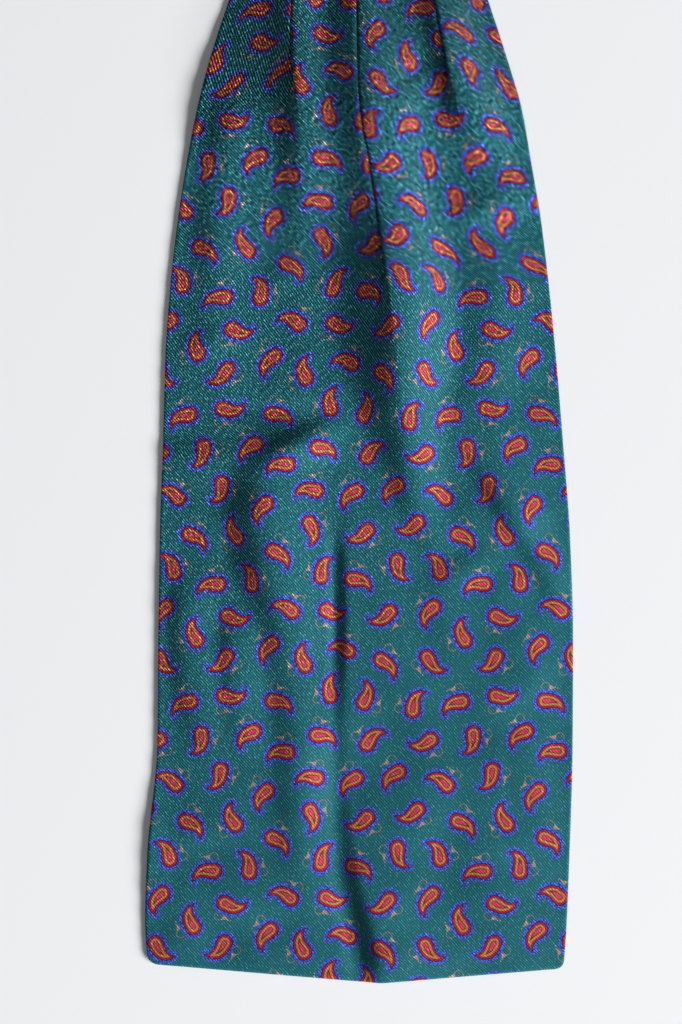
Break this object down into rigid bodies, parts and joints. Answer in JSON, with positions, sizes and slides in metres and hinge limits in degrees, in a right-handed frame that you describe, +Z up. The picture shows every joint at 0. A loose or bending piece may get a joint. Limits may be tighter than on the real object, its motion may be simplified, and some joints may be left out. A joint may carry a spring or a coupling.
{
  "type": "silk cravat",
  "caption": "Day cravat of printed silk laid out flat: wide blades with knife pleats at the neck ends, sewn into a narrow folded neckband",
  "frame": {"origin": "middle of the underside, on the surface that the cravat lies on", "axes": "+Y along the cravat from the shown blade's tip (-Y) to the far blade's tip, +X across it to the right as the shown blade is seen from above, +Z up"},
  "size_m": [0.1632, 1.2193, 0.011],
  "materials": {
    "printed_silk": "twill-woven silk with a soft sheen, teal green ground, small paisleys tossed in all directions in crimson, ochre and blue"
  },
  "bodies": {
    "root": {"blade_front_shown": "printed_silk", "blade_back_shown": "printed_silk", "blade_front_far": "printed_silk", "blade_back_far": "printed_silk", "neckband": "printed_silk"}
  },
  "joints": []
}
